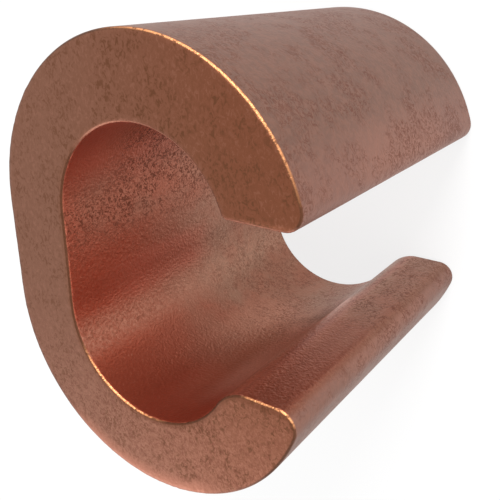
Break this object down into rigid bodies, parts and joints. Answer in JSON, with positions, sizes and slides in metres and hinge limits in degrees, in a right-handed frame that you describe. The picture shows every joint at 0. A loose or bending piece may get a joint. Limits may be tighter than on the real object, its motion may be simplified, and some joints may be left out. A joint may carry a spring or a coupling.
{
  "type": "grounding cable tap",
  "caption": "Solid copper C-section compression tap with an upper and a lower conductor channel, pressed shut to join a tap conductor to a ground conductor.",
  "frame": {"origin": "middle of the footprint, on the lower cut end that the tap stands on", "axes": "+Z along the conductors, up from the lower cut end; +X out of the open mouth; +Y from the rounded lip to the tight-cornered jaw"},
  "size_m": [0.0334, 0.0436, 0.0381],
  "materials": {
    "copper": null
  },
  "bodies": {
    "root": {"tap_body": "copper"}
  },
  "joints": []
}
